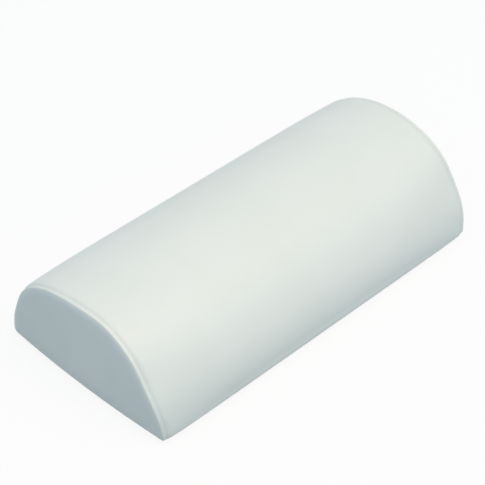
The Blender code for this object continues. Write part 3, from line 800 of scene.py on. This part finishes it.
end_half = WIDTH / 2 - END_INSET
coarse_length = np.linspace(0, girth, 72)
coarse_x = np.linspace(-WRAP_EDGE_X, WRAP_EDGE_X, 90)
wrap_patch, wrap_out = on_wrap(*np.meshgrid(coarse_length, coarse_x, indexing="ij"))
share_y, share_z = np.meshgrid(np.linspace(-1, 1, 41), np.linspace(0, 1, 25), indexing="ij")
end_y = end_half * np.sin(share_y * math.pi / 2)
end_top = np.maximum(arch_height(end_y, END_INSET), END_LOW_Z + END_CORNER)
end_z = END_LOW_Z + share_z * (end_top - END_LOW_Z)
end_patch = points_at(end_face_x(end_z), end_y, end_z)
floor_patch = points_at(coarse_x[[0, -1], None], np.array((-end_half, end_half)), END_LOW_Z)
moves = pressed_by_stuffing([wrap_patch, end_patch * (-1, 1, 1), end_patch[::-1], floor_patch])
wrap_lift = np.einsum("ijk,ijk->ij", moves[0], wrap_out)
end_lift = moves[2][::-1, :, 0]


def end_outline():
    """The D of an end panel's face, as a closed line of y and z from its bottom's middle, and its normals.

    It is the arch moved in, with circles of the corner's radius where it meets the straight bottom.
    """
    arch, normals = arch_line(END_INSET, END_LOW_Z + END_CORNER, 190)
    arch, normals = arch[::-1], normals[::-1]
    centre_y = arch[0, 0] - END_CORNER
    bottom_y = np.linspace(0, centre_y, 56, endpoint=False)
    bottom = np.stack([bottom_y, 0 * bottom_y + END_LOW_Z], axis=-1)
    down = np.broadcast_to((0.0, -1.0), bottom.shape)
    turn = np.linspace(-math.pi / 2, 0, 9, endpoint=False)
    out = np.stack([np.cos(turn), np.sin(turn)], axis=-1)
    corner = (centre_y, END_LOW_Z + END_CORNER) + END_CORNER * out
    half_line, half_normals = np.vstack([bottom, corner]), np.vstack([down, out])
    mirror = (-1, 1)
    line = np.vstack([half_line, arch, half_line[::-1] * mirror])
    return line, np.vstack([half_normals, normals, half_normals[::-1] * mirror])


# The face of an end panel, in rings from its middle to the rim, which lie closer near the rim.
END_MIDDLE = np.array((0.0, 45 * MM))
NEAR_RIM = 0.9
outline, outline_out = end_outline()
hemmed = np.clip((-outline_out[:, 1] - HEM_FROM) / (1 - HEM_FROM), 0, 1) ** 2
share = np.concatenate([np.linspace(0, NEAR_RIM, 34), np.linspace(NEAR_RIM, 1, 22)[1:]])[:, None, None]
face = END_MIDDLE + share * (outline - END_MIDDLE)
to_rim = (1 - share[..., 0]) * np.einsum("ij,ij->i", outline - END_MIDDLE, outline_out)
y, z = face[..., 0], face[..., 1]
top = np.maximum(arch_height(y, END_INSET), END_LOW_Z + END_CORNER)
lift_row = 0.5 + np.arcsin(np.clip(y / end_half, -1, 1)) / math.pi
crown = softly_capped(looked_up(end_lift, lift_row, (z - END_LOW_Z) / (top - END_LOW_Z)), END_LIFT)
face_x = end_face_x(z) + ROLL * (1 - np.exp(-to_rim / ROLL_SPREAD)) + crown

# Past the rim the panel dips under the wrap and runs on as its allowance. Its straight edge is hemmed.
slope = math.atan(ROLL / ROLL_SPREAD)
tilt = END_EDGE_TURN * hemmed + slope
turn = math.pi / 2 * (1 + hemmed) - SIDE_LEAN * hemmed - tilt
cap_radius = (END_INSET - CAP_INSET) / (1 - math.sin(slope))
land = max(SEAM_BACK - VINYL / 2 - NOSE_BACK - cap_radius * math.cos(slope), 0)
dip = SEAM_DIP * (1 - hemmed)
wall = (FLAP_INSET - CAP_INSET - 2 * FOLD_RADIUS * (1 - math.cos(SEAM_DIP))) / math.sin(SEAM_DIP)
bends = [
    ((cap_radius + hemmed * (FOLD_RADIUS - cap_radius)) * turn, turn, 9),
    (land * (1 - hemmed), 0.0, 2),
    (FOLD_RADIUS * dip, dip, 6),
    (wall * (1 - hemmed), 0.0, 2),
    (FOLD_RADIUS * dip, -dip, 5),
]
from_corner = np.abs(np.abs(outline[:, 0]) - end_half + END_CORNER)
from_corner = from_corner + np.maximum(outline[:, 1] - END_LOW_Z - END_CORNER, 0)
end_flap = np.clip(from_corner * FLAP_SLANT, FLAP_LEAST, ALLOWANCE)
for name, node, side in (("end_cover_left", "cover_end_left", -1), ("end_cover_right", "cover_end_right", 1)):
    grid = points_at(side * face_x, y, z)
    flat_out = points_at(0, outline_out[:, 0], outline_out[:, 1])
    outward = np.cos(tilt)[:, None] * flat_out - np.sin(tilt)[:, None] * ALONG * side
    inward = -np.cos(tilt)[:, None] * ALONG * side - np.sin(tilt)[:, None] * flat_out
    turned = swept(grid[-1], outward, inward, *bends, (end_flap, 0.0, 5))
    # Painted shade: the allowance greys as it dips under the wrap, though not along the hem.
    under_wrap = np.clip((np.arange(len(turned)) - SHADE_START) / SHADE_LINES, 0, SHADE_MOST)
    seam_shade = [0 * to_rim, under_wrap[:, None] * (1 - hemmed)]
    end, area = vinyl_sheet(name, [settled(grid), settled(turned)], seam_shade)
    dress(end, "cover", "vinyl", white_vinyl, knit_backing)
    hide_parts(node)
    reach = SEAM_BACK + FLAP_INSET - CAP_INSET + ALLOWANCE
    hem = FOLD_RADIUS * (math.pi - END_EDGE_TURN - SIDE_LEAN) + ALLOWANCE
    cut = (2 * (end_half + reach), HEIGHT - END_INSET - END_LOW_Z + reach + hem)

# The wrap: one long panel of vinyl stretched over the arch. All four edges are folded under, and each round
# end is laid over the edge of an end panel and stitched through, so the vinyl dips towards the seam.
WRAP_LIFT = 2.2 * MM
WRAP_FILL, FILL_RISE = 1.7 * MM, 4.5 * MM
STITCH_BACK = 2.2 * MM
PULL_SPREAD = 4.0 * MM
# The depth and spread of the stitch ditch, and how far the shade painted along it spreads.
DITCH_DEPTH, DITCH_SPREAD, DITCH_SHADE = 0.22 * MM, 0.9 * MM, 1.3 * MM
WRAP_CORNER = 2 * MM
SEAM_START, SEAM_RISE = 5 * MM, 16 * MM
SHOULDER_PLACE, SHOULDER_WIDTH, SHOULDER_FADE = 0.56, 0.17, 0.7
SHOULDER_SLUMP, SHOULDER_SPREAD = 0.6 * MM, 3.0 * MM
PUCKER, PUCKER_PITCH, PUCKER_BACK = 0.05 * MM, 13 * MM, 5 * MM
PUCKER_DRIFT, PUCKER_DRIFT_PITCH = 2.1, 71 * MM
wrap_around = stepped(girth, 0.5 * MM, 2.4 * MM, 12 * MM)
wrap_along = stepped(2 * WRAP_EDGE_X, 0.35 * MM, 4.6 * MM, 8 * MM) - WRAP_EDGE_X


def seam_strength(length):
    """How strongly the end seam shows along the arch, and how near a place is to the front shoulder.

    The seam eases out towards the floor by the smooth step of the way up, and fades by a bell curve over the
    shoulder.
    """
    middle = girth / 2
    rise = np.clip((middle - np.abs(length - middle) - SEAM_START) / SEAM_RISE, 0, 1)
    shoulder = bell(length - SHOULDER_PLACE * middle, SHOULDER_WIDTH * middle)
    return rise * rise * (3 - 2 * rise) * (1 - SHOULDER_FADE * shoulder), shoulder


def wrap_relief(length, x):
    """How far the wrap stands out from the plain arch.

    The stuffing fills it by an even amount that rises from its edges, and the simulated lift adds to that.
    The pull of the end seam, the ditch of its stitches and the slump of the shoulder are bell curves of the
    distance from the edge. Puckers are the sine of the length, at a pitch that drifts with a second sine.
    """
    from_edge = WRAP_EDGE_X - np.abs(x)
    from_side = np.minimum(length, girth - length)
    fill = WRAP_FILL * (1 - bell(from_edge, FILL_RISE)) * (1 - bell(from_side, FILL_RISE))
    strength, shoulder = seam_strength(length)
    lift = looked_up(wrap_lift, length / girth, (x + WRAP_EDGE_X) / (2 * WRAP_EDGE_X))
    stitched = DITCH_DEPTH * bell(from_edge - STITCH_BACK, DITCH_SPREAD) * strength
    slump = SHOULDER_SLUMP * shoulder * bell(np.maximum(from_edge, 0), SHOULDER_SPREAD)
    drift = PUCKER_DRIFT * np.sin(length * math.tau / PUCKER_DRIFT_PITCH)
    waves = np.sin(length * math.tau / PUCKER_PITCH + drift + np.sign(x))
    puckers = PUCKER * waves * bell(from_edge - PUCKER_BACK, PUCKER_BACK) * strength
    pull = SEAM_PULL * bell(np.maximum(from_edge, 0), PULL_SPREAD)
    return fill + softly_capped(lift, WRAP_LIFT) - pull - stitched - slump + puckers


flat, rim, out = cut_panel(wrap_around, wrap_along, WRAP_CORNER)
points, normals = on_wrap(flat[..., 0], flat[..., 1])
panel = points + wrap_relief(flat[..., 0], flat[..., 1])[..., None] * normals
_, edge_normals = on_wrap(rim[:, 0], rim[:, 1])
tangents = points_at(0, edge_normals[:, 2], -edge_normals[:, 1])
outward = out[:, :1] * tangents + out[:, 1:] * ALONG
turn = math.pi - out[:, 0] ** 2 * (WRAP_EDGE_TURN + SIDE_LEAN)
from_long_end = np.minimum(rim[:, 0], girth - rim[:, 0])
from_short_end = WRAP_EDGE_X - np.abs(rim[:, 1])
from_corner = np.where(np.abs(out[:, 0]) > 0.5, from_short_end, from_long_end)
flap = np.clip(from_corner * FLAP_SLANT - FLAP_BACK, FLAP_LEAST, ALLOWANCE)
turned = swept(round_edge(panel), outward, -edge_normals, (FOLD_RADIUS * turn, turn, 8), (flap, 0.0, 5))
from_stitches = WRAP_EDGE_X - STITCH_BACK - np.abs(flat[..., 1])
# Painted shade along the ditch of the stitches.
seam_shade = [bell(from_stitches, DITCH_SHADE), np.zeros(turned.shape[:-1])]
wrap, _ = vinyl_sheet("wrap_cover", [settled(panel), settled(turned)], seam_shade)
dress(wrap, "cover", "vinyl", white_vinyl, knit_backing)
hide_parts("cover_wrap")
cut = (
    girth + 2 * (FOLD_RADIUS * (math.pi - WRAP_EDGE_TURN - SIDE_LEAN) + ALLOWANCE),
    2 * (WRAP_EDGE_X + FOLD_RADIUS * math.pi + ALLOWANCE),
)

# The sewing thread: bonded white polyester, lockstitched. It shows along the rolled edge at both ends,
# along the zip on the underside of the base, and across the two end tabs.
THREAD = 0.42 * MM
STITCH_PITCH, STITCH_LENGTH = 3.6 * MM, 3.0 * MM
SEAM_RAISED, ZIP_SUNK, TAB_SUNK = 0.05 * MM, 0.02 * MM, 0.33 * MM
SEAM_END, ZIP_END, TAB_END = 16 * MM, 4 * MM, 5 * MM


def thread_finish():
    """Bonded thread: white, softly shiny, with the fine slant of its twist, painted darker in its grooves as
    shade.
    """
    thread = Finish("white thread")
    twist = thread.noise(thread.stretched(thread.place(), (1.0, 0.35, 0.35)), 1 / (0.15 * MM), 2.0)
    return thread.surface(
        # Painted shade: darker in the low parts of the twist.
        Base_Color=thread.mix(thread.eased(twist, 0.3, 0.7), (0.70, 0.72, 0.70), (0.84, 0.86, 0.84)),
        Roughness=0.48 + twist * 0.15,
        Normal=thread.relief(twist, 0.04 * MM, 0.6),
    )


white_thread = thread_finish()


def sew(name, middles, along, up):
    """Adds a run of stitches as closed tubes, each with its middle, the way along it and the way up.

    At the share v of half a stitch, the radius is the thread's times the root of 1 - v to the sixth, and the
    tube dips by the thread's thickness times v to the fourth.
    """
    v = np.linspace(-1, 1, 7)[:, None]
    turn = np.linspace(0, math.tau, 7)
    radius = THREAD / 2 * np.sqrt(1 - v**6)
    rise, aside = radius * np.cos(turn) - THREAD * v**4, radius * np.sin(turn)
    forward = np.broadcast_to(v * STITCH_LENGTH / 2, rise.shape)
    ways = ((forward, along), (rise, up), (aside, np.cross(along, up)))
    around = sum(part[..., None] * way[:, None, None] for part, way in ways)
    dress(skin(name, [settled(middles[:, None, None] + around)]), "cover", "vinyl", white_thread)


down = -UP[None]
seam_lengths = np.arange(SEAM_END, girth - SEAM_END, STITCH_PITCH)
for name, side in (("end_stitching_left", -1), ("end_stitching_right", 1)):
    at_x = side * (WRAP_EDGE_X - STITCH_BACK)
    points, up = on_wrap(seam_lengths, at_x)
    height = wrap_relief(seam_lengths, at_x) + VINYL / 2 + SEAM_RAISED
    sew(name, points + height[:, None] * up, points_at(0, up[:, 2], -up[:, 1]), up)
zip_x = np.arange(-base_length / 2 + ZIP_END, base_length / 2 - ZIP_END, STITCH_PITCH)
for name, side in (("zip_stitching_front", -1), ("zip_stitching_rear", 1)):
    middles = points_at(zip_x, side * (base_inner + SEWN_BACK), SEWN_DEPTH - ZIP_SUNK)
    sew(name, middles, ALONG[None], down)
tab_y = np.linspace(-TAB_END, TAB_END, 4)
tab_low = TAPE_Z - TAB_RADIUS - VINYL / 2 + TAB_SUNK
for name, side in (("tab_stitching_left", -1), ("tab_stitching_right", 1)):
    middles = points_at(side * (TAB_X + TAB_SEWN_BACK), tab_y, tab_low)
    sew(name, middles, np.array([(0.0, 1.0, 0.0)]), down)

# The studio: a pale floor that fades to white, a large warm lamp over the front of the bolster, a weak cool
# one low before it, a dim cool sky all round, and the camera where the picture was taken from.
CAMERA_AZIMUTH, CAMERA_ELEVATION = math.radians(-45.04), math.radians(39.54)
CAMERA_DISTANCE = 2.000
SENSOR = 36.0
IMAGE_PIXELS, FOCAL_PIXELS = 485.0, 1747.3
MIDDLE_PIXEL = (245.9, 242.94)
LOOKED_AT = Vector((0, 0, 60 * MM))
FLOOR_HALF, FLOOR_Z = 6.0, -0.02 * MM
FLOOR_GLOW = 0.88


def aimed(thing, place):
    """Puts a lamp or camera at a place, looking at the middle of the bolster."""
    made = bpy.data.objects.new(thing.name, thing)
    bpy.context.scene.collection.objects.link(made)
    made.location = place
    made.rotation_euler = (Vector(place) - LOOKED_AT).to_track_quat("Z", "Y").to_euler()
    return made


def soft_lamp(name, place, size, watts, colour):
    """Adds a square lamp, size metres wide, at a place."""
    lamp = bpy.data.lights.new(name, "AREA")
    lamp.shape = "SQUARE"
    lamp.size = size
    lamp.energy = watts
    lamp.color = colour
    return aimed(lamp, place)


lens = bpy.data.cameras.new("camera")
lens.sensor_width = SENSOR
lens.lens = FOCAL_PIXELS * SENSOR / IMAGE_PIXELS
lens.shift_x = (IMAGE_PIXELS / 2 - MIDDLE_PIXEL[0]) / IMAGE_PIXELS
lens.shift_y = (MIDDLE_PIXEL[1] - IMAGE_PIXELS / 2) / IMAGE_PIXELS
back = Vector((
    math.sin(CAMERA_AZIMUTH) * math.cos(CAMERA_ELEVATION),
    -math.cos(CAMERA_AZIMUTH) * math.cos(CAMERA_ELEVATION),
    math.sin(CAMERA_ELEVATION),
))
bpy.context.scene.camera = aimed(lens, LOOKED_AT + CAMERA_DISTANCE * back)
soft_lamp("overhead softbox", (-0.1, -0.7, 1.9), 1.4, 18.2, (1.0, 0.667, 0.381))
soft_lamp("low front softbox", (-0.2, -2.0, 0.9), 1.2, 4.8, (0.614, 0.896, 1.0))


def seen_directly(tree):
    """1 on rays that the camera, a reflection or clear matter looks along, and 0 on rays that only light."""
    camera, glossy, through = (tree.node("ShaderNodeLightPath", output=ray) for ray in (0, 3, 6))
    return camera + glossy + through


floor_edge = np.array((-FLOOR_HALF, FLOOR_HALF))
floor = skin("floor", [points_at(floor_edge[:, None], floor_edge, FLOOR_Z)])
paper = Finish("pale paper")
looked_on = seen_directly(paper)
paper.surface(Base_Color=paper.mix(looked_on, (0.26, 0.27, 0.28), (0.90, 0.90, 0.90)), Roughness=0.9)
glow = paper.node("ShaderNodeEmission", {}, {"Color": (1, 1, 1, 1), "Strength": 1.0})
matt = Value(paper, paper.shader.outputs[0])
lit = paper.node("ShaderNodeMixShader", {}, {0: looked_on * FLOOR_GLOW, 1: matt, 2: glow})
paper.feed(paper.nodes.nodes["Material Output"], {"Surface": lit})
floor.data.materials.append(paper.material)

world = bpy.data.worlds.new("studio")
world.use_nodes = True
bpy.context.scene.world = world
air = Tree(world.node_tree)
sky = air.node("ShaderNodeBackground", {}, {"Color": (0.67, 0.863, 1.0, 1.0), "Strength": 0.732})
white = air.node("ShaderNodeBackground", {}, {"Color": (1, 1, 1, 1), "Strength": 1.0})
lit = air.node("ShaderNodeMixShader", {}, {0: seen_directly(air), 1: sky, 2: white})
air.feed(world.node_tree.nodes["World Output"], {"Surface": lit})
bpy.context.scene.view_settings.view_transform = "Standard"
